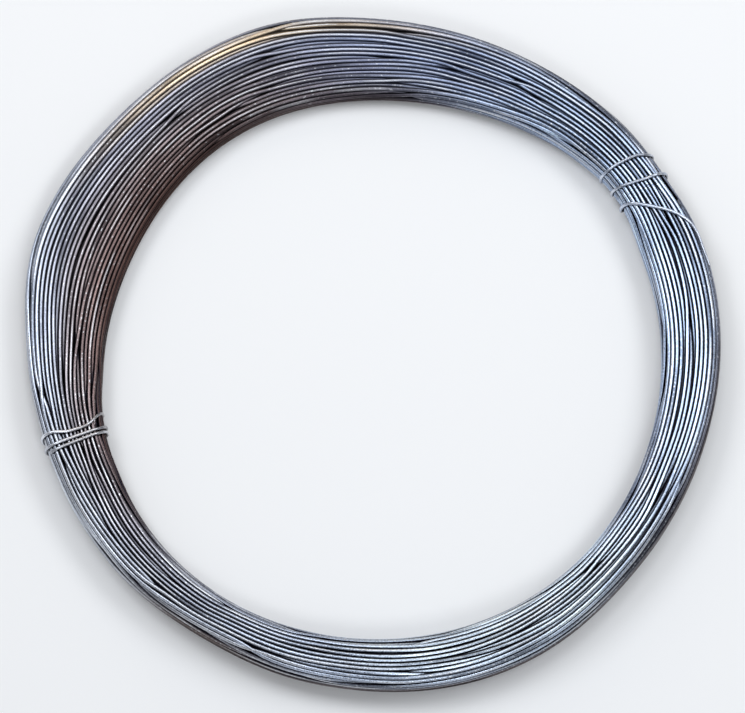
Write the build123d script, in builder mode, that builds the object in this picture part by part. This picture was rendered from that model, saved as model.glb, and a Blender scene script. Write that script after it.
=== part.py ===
from build123d import *
import os
from math import ceil, cos, degrees, pi, radians, sin, sqrt

os.makedirs("parts", exist_ok=True)

# The wire, and the ring's skin: where the bundle is tight it has a crest for every second turn
wire_diameter = 2.5
turn_gap = 0.1
valley_depth = 1.25

# The ring: the outermost turn is centred on the origin, and the innermost one sits off centre,
# away from the fan, so the bundle is widest on the fan side and tightest opposite it
bore_radius = 165.0
bundle_width = 40.0
fan_shift = 11.4
fan_direction = 130.0

# The bundle's section: high and narrow where it is tight, low and wide where it fans out. The
# fan slopes from the outer turns down to the ones at the bore
tight_height = 27.0
fan_height = 20.0
fan_bore_height = 13.0
corner_radius = 9.0
rest_flat = 0.2

# The ties are lengths of a thinner wire, drawn with few sides, wound three times round the
# bundle. Each pass has a ring angle in degrees at its outer top corner and one at its inner top
# corner, listed in the order in which it was wound
tie_diameter = 1.8
tie_sides = 8
tie_clearance = 0.3
low_bend = 4.5
end_height = 6.0
right_tie_passes = ((24.8, 30.3), (31.9, 33.6), (35.9, 37.0))
left_tie_passes = ((198.8, 197.6), (197.4, 196.1), (195.1, 193.5))

# The right tie starts as a tail that runs off along the outermost turns
tail_length = 26.0
tail_rise = 12.0
tail_drop = 11.0
tail_bend = 14.0

outer_radius = bore_radius + bundle_width
tight_width = bundle_width - fan_shift
crest_pitch = 2 * (wire_diameter + turn_gap)
tie_offset = tie_diameter / 2 + tie_clearance
channel_width = tie_diameter + 2 * tie_clearance
channel_height = tie_offset + tie_diameter / 2 + tie_clearance


def turn_size(across):
    # across is 0 at the bore and 1 outside. For the topmost turn there: its radius, how far its
    # centre lies from the origin, and its height where the bundle is tight and in the fan
    fan_top = fan_bore_height + across * (fan_height - fan_bore_height)
    return bore_radius + across * bundle_width, fan_shift * (1 - across), tight_height, fan_top


def turn_disc(spot):
    # spot is a place in the tight section; a turn's plane dips towards the fan
    radius, off_centre, tight_top, fan_top = turn_size(spot.X / tight_width)
    rise = spot.Y / tight_height
    dip = rise * (tight_top - fan_top) / (2 * radius)
    fan_x, fan_y = cos(radians(fan_direction)), sin(radians(fan_direction))
    centre = (-off_centre * fan_x, -off_centre * fan_y, rise * (tight_top + fan_top) / 2)
    plane = Plane(centre, x_dir=(fan_x, fan_y, -dip), z_dir=(dip * fan_x, dip * fan_y, 1))
    with BuildSketch(plane) as disc:
        Circle(radius)
    return disc.sketch


def reach(across, angle):
    # distance from the ring's centre to a turn, where it crosses this ring angle
    radius, off_centre, _, _ = turn_size(across)
    away = radians(angle - fan_direction)
    return sqrt(radius**2 - (off_centre * sin(away)) ** 2) - off_centre * cos(away)


def bundle_top(across, angle):
    # height of the bundle's top at a turn, where it crosses this ring angle
    radius, off_centre, tight_top, fan_top = turn_size(across)
    past_centre = reach(across, angle) * cos(radians(angle - fan_direction)) + off_centre
    return (tight_top + fan_top) / 2 - (tight_top - fan_top) * past_centre / (2 * radius)


def ring_point(distance, angle, height):
    return Vector(distance * cos(radians(angle)), distance * sin(radians(angle)), height)


# The tight section's outline in two halves, from the middle of the bore wall to the middle of
# the outer wall and back, with a valley between each two crests
with BuildLine() as section:
    under = FilletPolyline(
        (0, tight_height / 2),
        (0, -rest_flat),
        (tight_width, -rest_flat),
        (tight_width, tight_height / 2),
        radius=corner_radius,
    )
    over = FilletPolyline(
        (tight_width, tight_height / 2),
        (tight_width, tight_height),
        (0, tight_height),
        (0, tight_height / 2),
        radius=corner_radius,
    )
half_crests = round(under.length / crest_pitch)
skin = []
for half in (under, over):
    for step in range(2 * half_crests):
        place = step / (2 * half_crests)
        inward = (half % place).rotate(Axis.Z, 90)
        sunk = valley_depth if step % 2 == 0 else 0
        skin.append(half @ place + inward * sunk)

# The bore wall ends at the first crest on the bundle's flat underside
bore_wall = tight_height / 2 + rest_flat - corner_radius + corner_radius * radians(90)
bore_end = 2 * ceil(bore_wall / under.length * half_crests) + 1

# The bore's cutter runs on past both ends of its wall
past_end = Vector(0, tight_height / 4)
bore_skin = skin[bore_end::-1] + skin[: -bore_end - 1 : -1]
bore_skin = [bore_skin[0] - past_end] + bore_skin + [bore_skin[-1] + past_end]
ring_skin = skin[bore_end : len(skin) - bore_end + 1]


def tie_corners(passes):
    # the corners of each pass: up the outer wall, over the top and down the bore wall
    corners = []
    for outer_angle, inner_angle in passes:
        outer = reach(1, outer_angle) + tie_offset
        inner = reach(0, inner_angle) - tie_offset
        outer_top = bundle_top(1, outer_angle) + tie_offset
        inner_top = bundle_top(0, inner_angle) + tie_offset
        corners += [
            ring_point(outer, outer_angle, tie_offset),
            ring_point(outer, outer_angle, outer_top),
            ring_point(inner, inner_angle, inner_top),
            ring_point(inner, inner_angle, tie_offset),
        ]
    return corners


def raised(corner, height):
    return Vector(corner.X, corner.Y, height)


def tie_channels(passes):
    # the turns part upwards over each run of a tie that goes under them, from bore to outside
    corners = tie_corners(passes)
    for start, end in zip(corners[3:-1:4], corners[4::4]):
        run = end - start
        with BuildSketch(Plane(raised((start + end) / 2, 0), x_dir=run, z_dir=(0, 0, 1))) as channel:
            Rectangle(run.length + 2 * channel_width, channel_width)
        extrude(channel.sketch, amount=channel_height, mode=Mode.SUBTRACT)


with BuildPart() as coil:
    loft([turn_disc(spot) for spot in ring_skin], ruled=True)
    loft([turn_disc(spot) for spot in bore_skin], ruled=True, mode=Mode.SUBTRACT)
    split(bisect_by=Plane.XY, keep=Keep.TOP)
    for passes in (right_tie_passes, left_tie_passes):
        tie_channels(passes)
coil.part.label = "coil"
export_step(coil.part, "parts/coil.step")

top_bend = corner_radius * fan_height / tight_height + tie_offset
turn_bends = [top_bend, top_bend, low_bend, low_bend]

right_corners = tie_corners(right_tie_passes)
tail_angle = right_tie_passes[0][0]
tail_reach = reach(1, tail_angle) + tie_offset
tail_turn = tail_angle - degrees(tail_rise / tail_reach)
tail_top = bundle_top(1, tail_angle) - tail_drop
tail_corner = ring_point(tail_reach, tail_turn, tail_top)
tail_start = tail_corner + ring_point(tail_length, tail_turn - 90, 0)
right_end = raised(right_corners[-1], end_height)

with BuildPart() as tie_right:
    with BuildLine() as right_path:
        FilletPolyline(
            [tail_start, tail_corner] + right_corners[1:-1] + [right_end],
            radius=[tail_bend] + (turn_bends * len(right_tie_passes))[:-2],
        )
    with BuildSketch(right_path.line ^ 0):
        RegularPolygon(tie_diameter / 2, tie_sides)
    sweep()
tie_right.part.label = "tie_right"
export_step(tie_right.part, "parts/tie_right.step")

left_corners = tie_corners(left_tie_passes)
left_start = raised(left_corners[0], end_height)
left_end = raised(left_corners[-1], end_height)

with BuildPart() as tie_left:
    with BuildLine() as left_path:
        FilletPolyline(
            [left_start] + left_corners[1:-1] + [left_end],
            radius=(turn_bends * len(left_tie_passes))[:-2],
        )
    with BuildSketch(left_path.line ^ 0):
        RegularPolygon(tie_diameter / 2, tie_sides)
    sweep()
tie_left.part.label = "tie_left"
export_step(tie_left.part, "parts/tie_left.step")

tie_section = tie_sides / 2 * (tie_diameter / 2) ** 2 * sin(2 * pi / tie_sides)
for tie, path in ((tie_right, right_path), (tie_left, left_path)):
    expected = tie_section * path.wires()[0].length
    print(tie.part.label, "volume", round(tie.part.volume), "expected", round(expected))
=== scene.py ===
import bpy
import math
import numpy as np
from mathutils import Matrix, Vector


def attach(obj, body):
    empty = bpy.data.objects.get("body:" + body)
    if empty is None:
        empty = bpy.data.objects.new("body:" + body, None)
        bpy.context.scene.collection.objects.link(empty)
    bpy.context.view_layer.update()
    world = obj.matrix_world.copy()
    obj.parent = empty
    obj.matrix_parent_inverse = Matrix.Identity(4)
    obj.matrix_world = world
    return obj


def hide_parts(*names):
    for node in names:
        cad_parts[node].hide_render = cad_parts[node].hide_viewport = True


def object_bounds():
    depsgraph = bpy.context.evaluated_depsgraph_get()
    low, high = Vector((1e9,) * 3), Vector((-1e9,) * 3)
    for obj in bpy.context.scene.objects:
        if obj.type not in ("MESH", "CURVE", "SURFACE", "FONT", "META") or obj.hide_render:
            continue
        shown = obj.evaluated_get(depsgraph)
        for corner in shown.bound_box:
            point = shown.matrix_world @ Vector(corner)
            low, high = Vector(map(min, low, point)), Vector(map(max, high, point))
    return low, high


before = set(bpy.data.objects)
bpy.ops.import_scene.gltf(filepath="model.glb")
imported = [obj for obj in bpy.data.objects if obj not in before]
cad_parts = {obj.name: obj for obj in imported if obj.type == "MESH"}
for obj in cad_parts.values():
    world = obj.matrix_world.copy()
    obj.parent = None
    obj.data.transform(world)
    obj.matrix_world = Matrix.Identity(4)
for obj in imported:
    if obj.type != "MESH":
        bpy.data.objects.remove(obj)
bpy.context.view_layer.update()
print("frame loaded:", sorted(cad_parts))

# Pieces are worked out in millimetres and put in the scene in metres
mm = 0.001
tiny = 1e-6

# The ring that the wire is wound into. Lengths are in millimetres. Ring angles are in degrees,
# counted anticlockwise from the photo's right, seen from above
ring = {
    "wire": 2.5,
    "turns": 108,
    "stations": 180,  # points along one turn
    "sides": 12,
    # radius of the bore and of the outer wall, one for every 30 degrees, starting at 0
    "inner": [169.2, 166.6, 158.6, 152.0, 153.0, 150.4, 156.1, 166.7, 173.5, 176.0, 177.4, 173.5],
    "outer": [204.1, 202.6, 197.8, 200.4, 206.4, 206.8, 200.8, 199.0, 198.8, 205.2, 208.4, 203.0],
    # uneven places: ring angle, spread in degrees and how much further out
    "innerSwells": [(45.0, 11.0, 2.2), (33.0, 9.0, 1.6), (196.0, 12.0, -1.2)],
    "outerSwells": [
        (106.0, 11.0, 2.4), (136.0, 12.0, -2.6), (164.0, 12.0, 4.2), (196.0, 9.0, 1.6),
        (225.0, 9.0, 1.2), (255.0, 9.0, 1.2), (315.0, 12.0, -1.6),
    ],
    "fanAngle": 130.0,  # where the bundle is widest and lowest
    "outerTop": (20.0, 27.0),  # height of the outer turns in the fan and opposite it
    "boreTop": (13.0, 27.0),  # height of the turns at the bore, likewise
    "tieAngles": [31.5, 196.8],  # the wire's two ends lie at the first one
    "tieLift": 2.0,  # the bundle rides over its own ties
    "tieReach": 11.0,  # degrees to either side
    "pinch": 1.8,  # how far the ties draw in the bore and the outer wall
    "pinchReach": 8.0,
    "roundness": 0.72,  # corner radius of the section, as a share of its half height
    "openReach": 10.0,  # turns further from each other than this don't shade each other
    "meanRadius": 185.0,  # turns ring angle into length along the wire
}

# How the turns find their places in the ring
winding = {
    "width": 28.6,  # the tight section, where the places are worked out
    "height": 25.5,
    "cornerPower": 3.2,  # a higher one leaves the corners squarer
    "stations": 90,  # per turn, while the turns are being laid
    "stepStart": (0.15, 0.75),  # where on its turn the wire starts to cross to the next place
    "stepLength": 0.22,
    "wander": (2.0, 0.7),  # sideways and up or down
    "waves": ((1, 2, 3, 4), (1, 2, 3, 4, 5)),  # of the wander, per turn, likewise
    "rounds": 170,
    "quickRounds": 40,
    "push": 0.55,  # how much of its half of an overlap a turn gives way in one round
    "skinPull": 0.03,  # how much of its way up to the skin a turn goes in one round
    "smoothEvery": 3,  # rounds
    "smoothUntil": 150,
    "seed": 7,
}


def closedCurve(values, angle):
    # a smooth closed curve through values spaced evenly round the ring: its Fourier sum,
    # with the highest terms softened so that it doesn't ripple
    values = np.asarray(values, float)
    count = len(values)
    terms = np.fft.rfft(values) / count
    total = np.full(np.shape(angle), terms[0].real)
    for order in range(1, len(terms)):
        weight = 1.0 if 2 * order == count else 2.0
        soft = math.cos(math.pi / 2 * order / len(terms)) ** 0.25
        total = total + weight * soft * (terms[order] * np.exp(1j * order * angle)).real
    return total


def angleBump(angle, centre, width, power=2):
    # 1 at the centre angle, falling off as a bell to either side; a high power has a flat top
    away = (np.degrees(angle) - centre + 180) % 360 - 180
    return np.exp(-np.abs(away / width) ** power)


def fanOut(heights, angle):
    # the first height in the fan, the second opposite it, and a raised cosine between them
    share = (1 - np.cos(angle - math.radians(ring["fanAngle"]))) / 2
    return heights[0] + (heights[1] - heights[0]) * share


def bundleSection(angle):
    # inner and outer radius, underside, and the top's height at the bore and outside
    inner, outer = closedCurve(ring["inner"], angle), closedCurve(ring["outer"], angle)
    for place, spread, depth in ring["innerSwells"]:
        inner = inner + depth * angleBump(angle, place, spread)
    for place, spread, depth in ring["outerSwells"]:
        outer = outer + depth * angleBump(angle, place, spread)
    boreTop, outerTop = fanOut(ring["boreTop"], angle), fanOut(ring["outerTop"], angle)
    under = np.zeros(np.shape(angle))
    for tieAngle in ring["tieAngles"]:
        lift = ring["tieLift"] * angleBump(angle, tieAngle, ring["tieReach"], power=4)
        under, boreTop, outerTop = under + lift, boreTop + lift, outerTop + lift
        pinch = ring["pinch"] * angleBump(angle, tieAngle, ring["pinchReach"], power=4)
        inner, outer = inner + pinch, outer - pinch
    return inner, outer, under, boreTop, outerTop


def topAt(radius, section):
    # height of the bundle's top at a radius: it slopes from the outer turns down to the bore
    inner, outer, _, boreTop, outerTop = section
    share = np.clip((radius - inner) / (outer - inner), 0, 1)
    return boreTop + (outerTop - boreTop) * share


def windingPlaces(count):
    # places of the turns in the tight section, as shares of its width and height: layers from
    # the bore outwards, wound up and down in turn and staggered by half a wire, as wires nest.
    # The places with the largest |x|^p + |y|^p stay empty, which rounds the corners
    wire, width, height = ring["wire"], winding["width"], winding["height"]
    layers = int(width / (wire * math.sin(math.radians(60))))
    rows = int(height / wire)
    places = []
    for layer in range(layers + 1):
        x = -width / 2 + layer * width / layers
        stagger = wire / 4 if layer % 2 else -wire / 4
        column = [(x, -height / 2 + (row + 0.5) * height / rows + stagger) for row in range(rows)]
        places += column[::-1] if layer % 2 else column
    places = np.array(places)
    far = (np.abs(places / [width / 2, height / 2]) ** winding["cornerPower"]).sum(1)
    keep = np.sort(np.argsort(far)[:count])
    return places[keep] / [width, height] + 0.5, layers


def slowNoise(rng, orders):
    # for every turn a sum of a few waves round the ring, with amplitudes falling with the order
    angle = np.linspace(0, 2 * np.pi, winding["stations"], endpoint=False)
    total = np.zeros((ring["turns"], len(angle)))
    for order in orders:
        depth = rng.normal(0, 1, (ring["turns"], 1)) / order
        phase = rng.uniform(0, 2 * np.pi, (ring["turns"], 1))
        total += depth * np.cos(order * angle + phase)
    return total


def woundWire(rng, section):
    # radius and height at every station of every turn: a winding that stays in its place and
    # crosses to the next one on a short stretch of each turn, along a smooth step 3s^2 - 2s^3
    inner, outer, under, _, _ = section
    wire = ring["wire"]
    places, layers = windingPlaces(ring["turns"] + 1)
    walked = np.linspace(0, 1, winding["stations"], endpoint=False)
    start = rng.uniform(*winding["stepStart"], (ring["turns"], 1))
    step = np.clip((walked - start) / winding["stepLength"], 0, 1)
    step = (step * step * (3 - 2 * step))[..., None]
    place = places[:-1, None, :] * (1 - step) + places[1:, None, :] * step
    # where the bundle is wide, its first and last layers stay close to their neighbours:
    # across - c sin(2 pi across) / (2 pi), with c the share by which layers would stand apart
    across, width = place[..., 0], outer - inner - wire
    crowd = np.clip(1 - wire * layers / width, 0, 0.5)
    radius = inner + wire / 2 + (across - crowd * np.sin(2 * np.pi * across) / (2 * np.pi)) * width
    top = topAt(radius, section)
    height = under + wire / 2 + place[..., 1] * (top - under - wire)
    return np.stack([radius, height], axis=-1)


def pushApart(spot):
    # every turn moves away from the ones nearer than a diameter, by a share of the overlap.
    # The tiny length keeps a turn's own place from being divided by nothing
    apart = spot[:, None] - spot[None]
    gap = np.sqrt((apart**2).sum(-1)) + tiny
    push = np.clip(ring["wire"] - gap, 0, None) / gap / 2
    return winding["push"] * (push[..., None] * apart).sum(1)


def holdIn(spot, section):
    # the section is a rectangle with rounded corners: a core, and all that lies within the
    # corner's radius of it. Turns further out than that are moved straight back to the outline
    inner, outer, under, _, _ = section
    wire = ring["wire"]
    top = topAt(spot[..., 0], section)
    halfHeight = (top - under - wire) / 2
    halfWidth = np.broadcast_to((outer - inner - wire) / 2, top.shape)
    middle = np.stack([np.broadcast_to((inner + outer) / 2, top.shape), (top + under) / 2], -1)
    corner = ring["roundness"] * halfHeight
    away = spot - middle
    core = np.stack([halfWidth, halfHeight], -1) - corner[..., None]
    outside = np.clip(np.abs(away) - core, 0, None)
    length = np.sqrt((outside**2).sum(-1)) + tiny
    excess = np.clip(length - corner, 0, None)
    # turns just under the skin are drawn up to it, so that no deep gap opens in it
    below = np.where((excess == 0) & (corner - length < wire), corner - length, 0)
    outwards = np.sign(away) * outside / length[..., None]
    return outwards * (winding["skinPull"] * below - excess)[..., None]


def smoothInside(values, rounds):
    # all but the two ends move to half their own value and a quarter of each neighbour's
    for _ in range(rounds):
        values[1:-1] = (values[:-2] + 2 * values[1:-1] + values[2:]) / 4


def layTurns():
    # the wire's centre line as ring angle, radius and height. The winding gets a slow wander
    # and is then relaxed: turns push apart, the outline holds them in, and for most of the
    # rounds their shifts are smoothed along the wire
    rng = np.random.default_rng(winding["seed"])
    size = winding["stations"]
    start = math.radians(ring["tieAngles"][0])
    section = bundleSection(start + np.linspace(0, 2 * np.pi, size, endpoint=False))
    home = woundWire(rng, section)
    shift = np.stack([slowNoise(rng, waves) for waves in winding["waves"]], -1) * winding["wander"]
    for count in range(winding["rounds"]):
        shift = shift + pushApart(home + shift)
        shift = shift + holdIn(home + shift, section)
        if count % winding["smoothEvery"] == 0 and count < winding["smoothUntil"]:
            chain = shift.reshape(-1, 2)
            padded = np.pad(chain, ((1, 1), (0, 0)), mode="edge")
            chain = 0.5 * chain + 0.25 * padded[:-2] + 0.25 * padded[2:]
            shift = chain.reshape(shift.shape)
    # the whole wire as one run, on finer stations
    run = (home + shift).reshape(-1, 2)
    fine = np.arange(0, len(run) - 1, size / ring["stations"])
    radius, height = (np.interp(fine, np.arange(len(run)), values) for values in run.T)
    smoothInside(radius, 1)
    smoothInside(height, 1)
    return start + fine * 2 * np.pi / size, radius, height


def sideAngles(sides):
    return np.arange(sides) * 2 * np.pi / sides


def tubeMesh(name, centre, across, upward, radius, sides):
    # a round tube: every station's circle is centre + radius (cos t across + sin t upward),
    # and a flat cap closes either end
    count = len(centre)
    turn = sideAngles(sides)
    circle = np.cos(turn)[:, None] * across[:, None, :] + np.sin(turn)[:, None] * upward[:, None, :]
    points = centre[:, None, :] + radius * circle
    row, side = np.meshgrid(np.arange(count - 1), np.arange(sides), indexing="ij")
    here, ahead, nextSide = row * sides, (row + 1) * sides, (side + 1) % sides
    quads = [here + side, ahead + side, ahead + nextSide, here + nextSide]
    faces = np.stack(quads, -1).reshape(-1, 4)
    startCap = np.arange(sides)
    endCap = np.arange(count * sides - 1, (count - 1) * sides - 1, -1)
    loops = np.concatenate([faces.ravel(), startCap, endCap]).astype(np.int32)
    loopTotal = np.concatenate([np.full(len(faces), 4), [sides, sides]])
    mesh = bpy.data.meshes.new(name)
    mesh.vertices.add(count * sides)
    mesh.vertices.foreach_set("co", points.ravel())
    mesh.loops.add(len(loops))
    mesh.loops.foreach_set("vertex_index", loops)
    mesh.polygons.add(len(loopTotal))
    mesh.polygons.foreach_set("loop_start", (np.cumsum(loopTotal) - loopTotal).astype(np.int32))
    mesh.update(calc_edges=True)
    mesh.polygons.foreach_set("use_smooth", np.arange(len(loopTotal)) < len(faces))
    piece = bpy.data.objects.new(name, mesh)
    bpy.context.collection.objects.link(piece)
    return piece


def pointValues(piece, name, values):
    # one number for every vertex, which the material reads
    layer = piece.data.attributes.new(name, "FLOAT", "POINT")
    layer.data.foreach_set("value", np.asarray(values, np.float32).ravel())


def pointColors(piece, name, colors):
    layer = piece.data.attributes.new(name, "FLOAT_COLOR", "POINT")
    full = np.concatenate([colors, np.ones((len(colors), 1))], axis=1)
    layer.data.foreach_set("color", full.astype(np.float32).ravel())


def turnGrid(radius, height):
    # one row of stations for each turn; the last turn is filled up with stations far away
    grid = np.full((ring["turns"] * ring["stations"], 2), 1000.0)
    grid[:len(radius)] = np.stack([radius, height], -1)
    return grid.reshape(ring["turns"], ring["stations"], 2)


def countDeep(grid):
    # at how many stations two turns are deeper in each other than a quarter of the wire, which
    # they mostly are where they change places
    apart = np.sqrt(((grid[:, None] - grid[None]) ** 2).sum(-1))
    pairs = np.triu(np.ones((len(grid), len(grid)), bool), 1)
    return int((apart[pairs] < 0.75 * ring["wire"]).sum())


def openSides(grid):
    # how open every point of the wire's girth is, from 0 deep between turns to 1 on the skin.
    # A neighbour hides the share asin(r / d) cos(a) of the view, at distance d and at the angle
    # a from the surface's normal; the shares are summed and taken from 1. The material paints
    # shade into the gaps from it, and highlights onto the most open crests
    sides, wire, stations = ring["sides"], ring["wire"], ring["stations"]
    turn = sideAngles(sides)
    normal = np.stack([np.cos(turn), np.sin(turn)], -1)
    openness = np.empty((len(grid), stations, sides))
    for station in range(stations):
        spots = grid[:, station]
        skin = spots[:, None] + wire / 2 * normal
        toward = spots - skin[:, :, None]
        distance = np.sqrt((toward**2).sum(-1))
        facing = (toward * normal[:, None]).sum(-1) / distance
        near = distance < ring["openReach"]
        hidden = np.arcsin(np.clip(wire / 2 / distance, 0, 1)) * np.clip(facing, 0, 1) * near
        openness[:, station] = 1 - np.clip(hidden.sum(-1), 0, 1)
    return openness.reshape(-1, sides)


# Colour of the coil by place, most of it painted light: reflections, highlights and shade, with
# some real tarnish in the brown stretch. Each zone has its ring angle and spread in degrees, its
# place across the bundle (0 at the bore, 1 outside) with its reach, its colour and how strong it is
coilColors = {
    "plain": (0.50, 0.53, 0.59),
    "zones": {
        # painted reflections of a blue sky, on the right and the lower part of the ring
        "blueSkyReflection": (330, 100, 0.4, 1.3, (0.48, 0.57, 0.75), 0.9),
        "skyReflectionRight": (34, 48, 0.3, 0.65, (0.60, 0.75, 1.0), 0.93),
        "skyReflectionLow": (299, 29, 0.3, 0.7, (0.75, 0.87, 1.0), 0.95),
        # painted dim slate-blue reflection over the top
        "slateTopReflection": (84, 30, 0.55, 0.5, (0.27, 0.335, 0.51), 0.85),
        # painted blue-grey reflection near the outside of the fan
        "smokyReflection": (140, 36, 0.78, 0.22, (0.40, 0.43, 0.54), 0.8),
        # some real tarnish, with painted shade and a painted brown reflection on the bore side of the
        # fan
        "tarnishAndShade": (160, 66, 0.05, 0.62, (0.19, 0.12, 0.105), 0.95),
        # painted highlights along the outer edge at the left
        "pale": (219, 32, 1.0, 0.26, (0.84, 0.90, 1.0), 0.95),
        "paleEdgeHighlight": (168, 24, 1.0, 0.14, (0.62, 0.68, 0.78), 0.95),
        # painted tan reflection just inside the outer edge at the top
        "tanReflection": (112, 32, 0.86, 0.075, (0.82, 0.66, 0.46), 0.95),
        # painted shade on the outermost turns at the top
        "topEdgeShade": (102, 36, 1.02, 0.075, (0.20, 0.20, 0.23), 0.9),
        # painted dim blue-grey reflection at the left
        "duskReflection": (182, 17, 0.8, 0.22, (0.36, 0.40, 0.49), 0.75),
        # painted shade on the bore wall, brownish where a brown reflection is painted in with it
        "bore": (156, 84, -0.08, 0.22, (0.04, 0.018, 0.013), 0.97),
        "boreTop": (89, 16, -0.06, 0.2, (0.05, 0.035, 0.04), 0.9),
        "boreLeftShade": (207, 15, -0.06, 0.22, (0.04, 0.018, 0.013), 0.9),
        "boreLowShade": (331, 13, 0.04, 0.24, (0.24, 0.28, 0.38), 0.8),
        # painted shade on the outer rim
        "rimTopShade": (46, 28, 1.0, 0.15, (0.13, 0.135, 0.17), 0.85),
        "rimRightShade": (340, 34, 1.0, 0.16, (0.05, 0.035, 0.03), 0.92),
        "rimLeftShade": (241, 14, 1.0, 0.13, (0.13, 0.085, 0.065), 0.92),
    },
    # painted shade near the floor, which fades out at this height
    "floorShade": {"height": 9.0, "color": (0.12, 0.075, 0.06), "strength": 0.85},
    # painted shade on the outer wall below its shoulder. It comes in between the first and the second
    # place across the bundle, and between the first and the second height
    "wallShade": {
        "angle": 320, "spread": 98, "across": (0.84, 0.95), "height": (22.0, 13.0),
        "color": (0.085, 0.055, 0.045), "strength": 0.95,
    },
    # ring angle and spread of the dull stretch, where the wire is duller and the painted shade in its
    # gaps paler
    "dull": (112, 62),
}


def ramped(values, limits):
    # 0 at the first limit, 1 at the second, straight between
    return np.clip((values - limits[0]) / (limits[1] - limits[0]), 0, 1)


def mixInto(tint, color, weight):
    return tint + weight[..., None] * (np.array(color) - tint)


def wireTint(angle, across, height):
    # each zone is mixed in with the weight of a bell round the ring times one across the bundle;
    # most zones are painted reflections, highlights and shade
    tint = np.broadcast_to(coilColors["plain"], (*angle.shape, 3))
    for centre, spread, place, reach, color, strength in coilColors["zones"].values():
        bell = angleBump(angle, centre, spread, power=3)
        through = np.exp(-np.abs((across - place) / reach) ** 3)
        tint = mixInto(tint, color, strength * (bell * through))
    # painted shade: near the floor, and on the outer wall below its shoulder
    paintedShade = coilColors["floorShade"]
    low = np.clip(1 - height / paintedShade["height"], 0, 1)
    tint = mixInto(tint, paintedShade["color"], paintedShade["strength"] * low)
    paintedShade = coilColors["wallShade"]
    wall = ramped(across, paintedShade["across"]) * ramped(height, paintedShade["height"])
    wall = wall * angleBump(angle, paintedShade["angle"], paintedShade["spread"], power=6)
    return mixInto(tint, paintedShade["color"], paintedShade["strength"] * wall)


def finishPiece(piece, material, node):
    piece.data.materials.append(material)
    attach(piece, "root")
    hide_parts(node)


def makeCoil(material):
    # a station's circle lies in the upright plane through the ring's axis, and the wire is cut
    # into three pieces of equal length
    angle, radius, height = layTurns()
    inner, outer, _, _, _ = bundleSection(angle)
    outward = np.stack([np.cos(angle), np.sin(angle), np.zeros_like(angle)], -1)
    upward = np.broadcast_to([0.0, 0.0, 1.0], outward.shape)
    centre = (radius[:, None] * outward + height[:, None] * upward) * mm
    grid = turnGrid(radius, height)
    print("turns laid, two deep in each other at", countDeep(grid), "of", len(angle), "stations")
    openness = openSides(grid)
    sides, thickness = ring["sides"], ring["wire"] / 2 * mm
    tint = wireTint(angle, (radius - inner) / (outer - inner), height)
    # for the material: metres along the wire, the turn's number, and how dull the wire is
    along = angle * ring["meanRadius"] * mm
    turn = np.floor((angle - angle[0]) / (2 * np.pi))
    dull = angleBump(angle, *coilColors["dull"], power=4)
    names = ["coilTurnsInner", "coilTurnsMiddle", "coilTurnsOuter"]
    cuts = np.linspace(0, len(angle) - 1, len(names) + 1).astype(int)
    for name, first, last in zip(names, cuts[:-1], cuts[1:]):
        part = slice(first, last + 1)
        piece = tubeMesh(name, centre[part], outward[part], upward[part], thickness, sides)
        pointValues(piece, "along", np.repeat(along[part], sides))
        pointValues(piece, "open", openness[part])
        pointValues(piece, "turn", np.repeat(turn[part], sides))
        pointColors(piece, "tint", np.repeat(tint[part], sides, axis=0))
        pointValues(piece, "dull", np.repeat(dull[part], sides))
        finishPiece(piece, material, "coil")
    length = np.linalg.norm(np.diff(centre, axis=0), axis=1).sum()
    print("coil wire:", len(angle), "stations,", round(float(length), 1), "m")
    return angle, radius, height


# The ties. Each pass over the bundle is given by places across it, from 1 outside to 0 at the
# bore, with the ring angle there. The right tie starts as a tail along the outer turns
tieRight = {
    "name": "tieRight",
    "node": "tie_right",
    "passes": [
        [(1.0, 21.2), (0.83, 23.0), (0.66, 24.5), (0.48, 25.7), (0.25, 27.4), (0.0, 29.2)],
        [(1.0, 30.8), (0.5, 31.4), (0.0, 32.9)],
        [(1.0, 34.8), (0.8, 35.8), (0.5, 36.5), (0.25, 36.7), (0.0, 36.8)],
    ],
    "tail": 8.0,  # degrees
    "streakRow": 208.0,  # the finish's streaks differ from row to row; each turn has its number
}
tieLeft = {
    "name": "tieLeft",
    "node": "tie_left",
    "passes": [
        [(1.0, 199.7), (0.5, 199.3), (0.0, 198.9)],
        [(1.0, 198.7), (0.5, 198.4), (0.0, 198.0)],
        [(1.0, 196.5), (0.8, 196.5), (0.5, 197.7), (0.27, 197.3), (0.0, 194.9)],
    ],
    "tail": 0.0,
    "streakRow": 207.0,
}
tieWire = {
    "diameter": 1.8,
    "sides": 16,
    "spacing": 0.7,  # between stations
    # directions from inside the bundle: where a pass over the top starts and ends, and where
    # the last pass ends, under the bundle
    "outerShoulder": 50,
    "boreShoulder": 136,
    "lastEnd": 262,
    # the tail leans from this direction to the outer shoulder, and starts sunk among the turns
    "tailLean": 28,
    "tailSink": 1.3,
    "tailPoints": 40,
    "turnSmoothing": 16,  # rounds, first of the ring angle and then of the whole line
    "lineSmoothing": 5,
    "color": (0.70, 0.70, 0.72),
    "colorShare": 0.5,  # the rest is the coil's colour there, painted reflections and shade included
    "colorPlaces": (0.1, 0.85),  # across the coil
    "openness": (0.75, 0.5),  # for painted shade and highlight: halfway round a side, and how much more where it faces outwards
    "roughness": 0.28,
}


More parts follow.
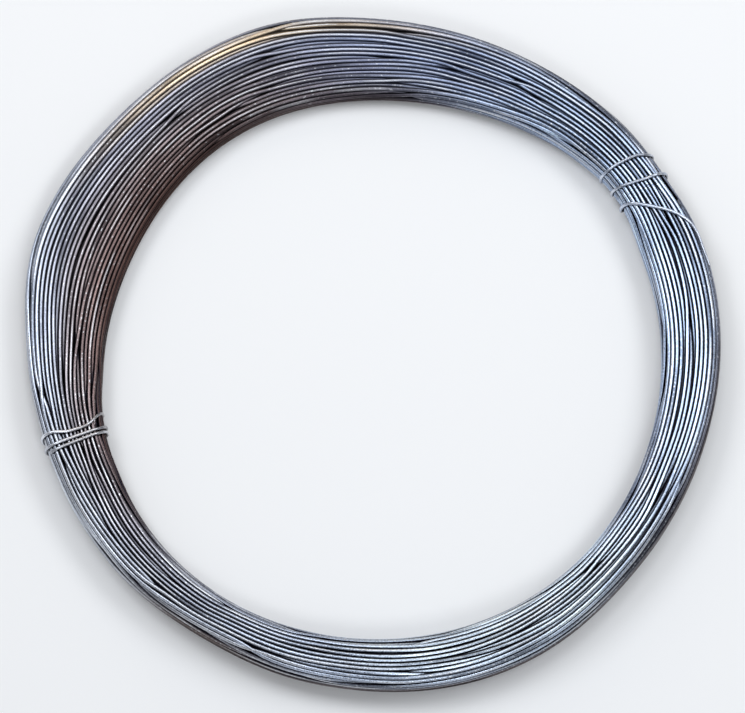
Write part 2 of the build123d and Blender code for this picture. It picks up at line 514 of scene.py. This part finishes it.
def bundleHull(turns, degrees, direction):
    # where a wire pulled tight round the bundle lies, for each direction t seen from inside it:
    # the turn that reaches furthest along (cos t, sin t), and half of both wires further out.
    # Every turn counts with the station that is nearest to the ring angle
    angle, radius, height = turns
    away = (np.degrees(angle) - degrees + 180) % 360 - 180
    near = np.abs(away) < 180 / ring["stations"] + tiny
    spots = np.stack([radius[near], height[near]], -1)
    looking = np.stack([np.cos(direction), np.sin(direction)], -1)
    furthest = spots[np.argmax(looking @ spots.T, axis=1)]
    return furthest + (ring["wire"] + tieWire["diameter"]) / 2 * looking


def evenly(values, keys, spacing):
    # points spaced evenly along a line through the given ones, each followed by its key
    walked = np.concatenate([[0], np.cumsum(np.linalg.norm(np.diff(values, axis=0), axis=1))])
    places = np.linspace(0, walked[-1], int(walked[-1] / spacing))
    return np.stack([np.interp(places, walked, column) for column in (*values.T, np.ravel(keys))], -1)


def tiePass(turns, spots, following):
    # radius, height and ring angle of a pass: over the top from outside to the bore, then down
    # the bore wall, under the bundle and up the outer wall to where the following pass starts
    outerShoulder, boreShoulder = tieWire["outerShoulder"], tieWire["boreShoulder"]
    overTop = np.radians(np.arange(outerShoulder, boreShoulder, 1.0))
    back = np.radians(np.arange(boreShoulder, outerShoulder + 360, 1.0))
    shares, angles = np.array(spots)[::-1].T
    line = bundleHull(turns, angles.mean(), overTop)
    across = (line[:, 0] - line[-1, 0]) / (line[0, 0] - line[-1, 0])
    top = np.column_stack([line, np.interp(across, shares, angles)])
    if following:
        line = bundleHull(turns, angles.mean(), back)
        target = following[0][1]
        nextLine = bundleHull(turns, np.mean([angle for _, angle in following]), back)
        blend = np.linspace(0, 1, len(back))[:, None]
        line = line * (1 - blend) + nextLine * blend
    else:
        back = back[back < math.radians(tieWire["lastEnd"])]
        line = bundleHull(turns, angles.mean(), back)
        target = angles[0]
    turn = angles[0] + (target - angles[0]) * np.linspace(0, 1, len(back))
    return [top, np.column_stack([line, turn])]


def tieTail(turns, first, length):
    # the tail leans into the shoulder between the bundle's top and its outer wall
    count = tieWire["tailPoints"]
    lean = np.radians(np.linspace(tieWire["tailLean"], tieWire["outerShoulder"], count))
    degrees = np.linspace(first - length, first, count)
    leaning = zip(degrees, lean[:, None])
    line = np.array([bundleHull(turns, angle, direction)[0] for angle, direction in leaning])
    line[:, 0] -= np.linspace(tieWire["tailSink"], 0, count)
    return np.column_stack([line, degrees])


def tieLine(tie, turns):
    # the tie's centre line with its ring angle at every station, smoothed like a bent wire
    passes = tie["passes"]
    rows = [tieTail(turns, passes[0][0][1], tie["tail"])] if tie["tail"] else []
    for spots, following in zip(passes, passes[1:] + [None]):
        rows += tiePass(turns, spots, following)
    rows = evenly(*np.split(np.concatenate(rows), [2], axis=1), tieWire["spacing"])
    turn = np.radians(rows[:, 2])
    smoothInside(turn, tieWire["turnSmoothing"])
    points = np.stack([rows[:, 0] * np.cos(turn), rows[:, 0] * np.sin(turn), rows[:, 1]], -1)
    line = evenly(points, turn, tieWire["spacing"])
    smoothInside(line, tieWire["lineSmoothing"])
    return line[:, :3], line[:, 3]


def unit(vectors):
    return vectors / np.linalg.norm(vectors, axis=1, keepdims=True)


def makeTie(tie, material, turns):
    # a station's circle is square to the line: its first side looks away from the heart of the
    # bundle's section there, and the next ones follow towards outward x tangent
    line, angle = tieLine(tie, turns)
    tangent = unit(np.gradient(line, axis=0))
    inner, outer, under, _, outerTop = bundleSection(angle)
    middle = (inner + outer) / 2
    heart = np.stack([middle * np.cos(angle), middle * np.sin(angle), (under + outerTop) / 2], -1)
    outward = line - heart
    outward = unit(outward - (outward * tangent).sum(1, keepdims=True) * tangent)
    upward = np.cross(outward, tangent)
    sides, count = tieWire["sides"], len(line)
    thickness = tieWire["diameter"] / 2 * mm
    piece = tubeMesh(tie["name"], line * mm, outward, upward, thickness, sides)
    pointValues(piece, "along", np.repeat(np.arange(count) * tieWire["spacing"] * mm, sides))
    # painted shade on the tie's side towards the bundle, painted highlight on its outer side
    halfway, swing = tieWire["openness"]
    openness = np.clip(halfway + swing * np.cos(sideAngles(sides)), 0, 1)
    pointValues(piece, "open", np.tile(openness, count))
    pointValues(piece, "turn", np.full(count * sides, tie["streakRow"]))
    # the coil's tint there, with its painted reflections and shade, goes into the tie's
    across = (np.hypot(line[:, 0], line[:, 1]) - inner) / (outer - inner)
    coilTint = wireTint(angle, np.clip(across, *tieWire["colorPlaces"]), line[:, 2])
    tint = mixInto(coilTint, tieWire["color"], np.full(count, tieWire["colorShare"]))
    pointColors(piece, "tint", np.repeat(tint, sides, axis=0))
    finishPiece(piece, material, tie["node"])


class Nodes:
    # a short way to add nodes to a material and link them
    def __init__(self, material):
        material.use_nodes = True
        self.tree = material.node_tree
        self.tree.nodes.clear()

    def add(self, kind, inputs=None, **settings):
        node = self.tree.nodes.new("ShaderNode" + kind)
        for key, value in settings.items():
            setattr(node, key, value)
        for key, value in (inputs or {}).items():
            if isinstance(value, bpy.types.NodeSocket):
                self.tree.links.new(value, node.inputs[key])
            else:
                node.inputs[key].default_value = value
        return node

    def attribute(self, name, output="Fac"):
        return self.add("Attribute", attribute_name=name).outputs[output]

    def noise(self, place, scale, detail):
        inputs = {"Vector": place, "Scale": scale, "Detail": detail}
        return self.add("TexNoise", inputs).outputs["Fac"]

    def mix(self, factor, first, second, blend="MIX"):
        inputs = {"Factor": factor, "A": first, "B": second}
        return self.add("Mix", inputs, data_type="RGBA", blend_type=blend).outputs["Result"]

    def multiply(self, first, second):
        return self.mix(1.0, first, second, "MULTIPLY")

    def ramp(self, factor, limits, low, high):
        # a colour that goes from low at the first limit to high at the second
        node = self.add("ValToRGB", {"Fac": factor})
        elements = node.color_ramp.elements
        for element, position, color in zip(elements, limits, (low, high)):
            element.position = position
            element.color = (*color, 1.0)
        return node.outputs["Color"]

    def fade(self, factor, limits, most=1.0):
        # a share that goes from 0 at the first limit to most at the second
        return self.ramp(factor, limits, (0.0, 0.0, 0.0), (most, most, most))


# The finish of the zinc-coated wire, with painted shade in the gaps and painted highlights and
# glints on the crests. Two limits say at which value of a noise, an openness or
# a tint something starts to count, and at which it counts in full
wireFinish = {
    "streak": 11.0,  # bright and dull stretches, per metre of wire
    "streakLimits": (0.38, 0.62),
    "streakTones": ((0.36, 0.36, 0.37), (1.45, 1.45, 1.45)),
    "crestHighlight": (0.80, 0.82, 0.86),  # colour of the painted highlights on the crests
    "highlightStretch": 18.7,  # stretches with painted crest highlights, per metre of wire
    "highlightStretchLimits": (0.5, 0.62),
    "highlightStretchStrength": 0.75,
    "crest": (0.9, 1.0),  # openness: the painted highlights lie on the crests
    "paleTint": (0.06, 0.2),  # tint: where it is dark, no painted highlight or glint goes on the crests
    "spangle": 1000.0,  # zinc grain, per metre
    "spangleLimits": (0.36, 0.62),
    "spangleTones": ((0.72, 0.72, 0.73), (1.08, 1.08, 1.08)),
    "spangleStrength": 0.6,
    "spangleDepth": 0.0002,  # metres
    "spangleBump": 0.12,
    "glint": 620.0,  # painted glints: sparse bright specks, per metre
    "glintLimits": (0.61, 0.68),
    "glintStrength": 0.7,
    "gap": (0.42, 0.97),  # openness where the painted shade in a gap is darkest, and where it ends
    # colour of the painted shade deep in the gaps
    "creviceShade": (0.012, 0.011, 0.018),
    "dullGapShade": (0.34, 0.34, 0.36),  # in the dull stretch the painted shade in a gap is this share of the tint
    "roughness": 0.27,
    # the grain makes it this much smoother at its first limit and rougher at the second
    "grainLimits": (0.3, 0.7),
    "smoother": 0.10,
    "rougher": 0.14,
    "dullRoughness": 0.12,  # added in the dull stretch
}


def wireMaterial(name, finish):
    material = bpy.data.materials.new(name)
    nodes = Nodes(material)
    place = nodes.add("TexCoord").outputs["Object"]
    tint = nodes.attribute("tint", "Color")
    opening = nodes.attribute("open")
    dulled = nodes.attribute("dull")
    wirePlace = {"X": nodes.attribute("along"), "Y": nodes.attribute("turn")}
    lengthwise = nodes.add("CombineXYZ", wirePlace).outputs["Vector"]
    streak = nodes.noise(lengthwise, finish["streak"], detail=4.0)
    highlightNoise = nodes.noise(lengthwise, finish["highlightStretch"], detail=2.0)
    grain = nodes.noise(place, finish["spangle"], detail=2.0)
    glint = nodes.noise(place, finish["glint"], detail=1.0)
    # long bright and dull stretches, then the painted highlights on the crests, then the zinc's fine
    # grain
    toned = nodes.multiply(tint, nodes.ramp(streak, finish["streakLimits"], *finish["streakTones"]))
    crest = nodes.fade(opening, finish["crest"])
    paleTint = nodes.fade(tint, finish["paleTint"])
    highlightStretch = nodes.fade(highlightNoise, finish["highlightStretchLimits"], finish["highlightStretchStrength"])
    highlightColor = (*finish["crestHighlight"], 1.0)
    crestHighlight = nodes.mix(nodes.multiply(nodes.multiply(highlightStretch, crest), paleTint), toned, highlightColor)
    speck = nodes.ramp(grain, finish["spangleLimits"], *finish["spangleTones"])
    specked = nodes.mix(finish["spangleStrength"], crestHighlight, speck, "MULTIPLY")
    # painted glints: sparse bright specks on the crests
    glints = nodes.fade(glint, finish["glintLimits"], finish["glintStrength"])
    glints = nodes.multiply(nodes.multiply(glints, crest), paleTint)
    bright = nodes.mix(glints, specked, highlightColor)
    # painted shade: gaps between turns are near black, and in the dull stretch a darker tint
    paleGapShade = nodes.multiply(tint, (*finish["dullGapShade"], 1.0))
    creviceShade = nodes.mix(dulled, (*finish["creviceShade"], 1.0), paleGapShade)
    shaded = nodes.mix(nodes.fade(opening, finish["gap"]), creviceShade, bright)
    bump = nodes.add("Bump", {
        "Height": grain, "Strength": finish["spangleBump"],
        "Distance": finish["spangleDepth"]}).outputs["Normal"]
    smoothest, roughest = finish["grainLimits"]
    grainRough = nodes.add("MapRange", {
        "Value": grain, "From Min": smoothest, "From Max": roughest,
        "To Min": finish["roughness"] - finish["smoother"],
        "To Max": finish["roughness"] + finish["rougher"]}).outputs["Result"]
    roughInputs = {0: dulled, 1: finish["dullRoughness"], 2: grainRough}
    rough = nodes.add("Math", roughInputs, operation="MULTIPLY_ADD").outputs["Value"]
    surface = nodes.add("BsdfPrincipled", {
        "Base Color": shaded, "Metallic": 1.0, "Roughness": rough, "Normal": bump})
    nodes.add("OutputMaterial", {"Surface": surface.outputs["BSDF"]})
    return material


# The photo's light and its point of view: the camera looks at the aim from this elevation in
# degrees and this distance. Lengths are in metres
studio = {
    "floorSize": 12.0,
    "floorGap": 0.0001,  # below the coil
    "floorColor": (0.93, 0.93, 0.93),
    "floorRoughness": 0.8,
    "worldColor": (0.93, 0.95, 1.0),
    "worldStrength": 0.34,
    # name: place, size, power, colour
    "lamps": {
        "topLamp": ((0.0, 0.45, 1.7), 0.6, 4.0, (0.94, 0.97, 1.0)),
        "keyLamp": ((-0.9, 0.7, 1.6), 0.8, 9.5, (0.93, 0.96, 1.0)),
        "sideLamp": ((1.2, 0.25, 1.5), 0.7, 7.0, (0.92, 0.96, 1.0)),
        "frontLamp": ((0.25, -1.3, 1.7), 0.6, 6.5, (0.95, 0.98, 1.0)),
        "backLamp": ((0.8, 1.0, 1.6), 0.8, 5.5, (0.92, 0.96, 1.0)),
        "warmLamp": ((-0.3, 1.6, 0.7), 0.9, 2.5, (1.0, 0.84, 0.62)),
    },
    "elevation": 75.15,
    "distance": 3.2,
    "frameWidth": 0.4354,  # metres across the picture, at the ring
    "aim": (0.0005, -0.0065, 0.012),
}


def makeFloor():
    material = bpy.data.materials.new("paleFloor")
    nodes = Nodes(material)
    look = {"Base Color": (*studio["floorColor"], 1.0), "Roughness": studio["floorRoughness"]}
    nodes.add("OutputMaterial", {"Surface": nodes.add("BsdfPrincipled", look).outputs["BSDF"]})
    size = studio["floorSize"] / 2
    corners = [(-size, -size, 0), (size, -size, 0), (size, size, 0), (-size, size, 0)]
    mesh = bpy.data.meshes.new("floorSheet")
    mesh.from_pydata(corners, [], [(0, 1, 2, 3)])
    floor = bpy.data.objects.new("floorSheet", mesh)
    floor.location.z = min(0.0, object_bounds()[0][2]) - studio["floorGap"]
    floor.data.materials.append(material)
    bpy.context.collection.objects.link(floor)


def makeLights():
    world = bpy.data.worlds.new("studioWorld")
    bpy.context.scene.world = world
    world.use_nodes = True
    back = world.node_tree.nodes["Background"]
    back.inputs["Color"].default_value = (*studio["worldColor"], 1.0)
    back.inputs["Strength"].default_value = studio["worldStrength"]
    for name, (place, size, power, color) in studio["lamps"].items():
        lamp = bpy.data.lights.new(name, "AREA")
        lamp.size = size
        lamp.energy = power
        lamp.color = color
        holder = bpy.data.objects.new(name, lamp)
        holder.location = place
        holder.rotation_euler = (-Vector(place)).to_track_quat("-Z", "Y").to_euler()
        bpy.context.collection.objects.link(holder)


def makeCamera():
    camera = bpy.data.cameras.new("photoCamera")
    camera.sensor_width = 36.0
    camera.lens = camera.sensor_width * studio["distance"] / studio["frameWidth"]
    camera.clip_end = 100.0
    holder = bpy.data.objects.new("photoCamera", camera)
    tilt = math.radians(studio["elevation"])
    back = Vector((0.0, -math.cos(tilt), math.sin(tilt)))
    holder.location = Vector(studio["aim"]) + studio["distance"] * back
    holder.rotation_euler = (-back).to_track_quat("-Z", "Y").to_euler()
    bpy.context.collection.objects.link(holder)
    bpy.context.scene.camera = holder


turns = makeCoil(wireMaterial("galvanisedWire", wireFinish))
tieLook = wireMaterial("galvanisedTie", dict(wireFinish, roughness=tieWire["roughness"]))
for tie in (tieRight, tieLeft):
    makeTie(tie, tieLook, turns)
print("ties wound")
makeFloor()
makeLights()
makeCamera()
bpy.context.scene.view_settings.view_transform = "Standard"
print("studio set")
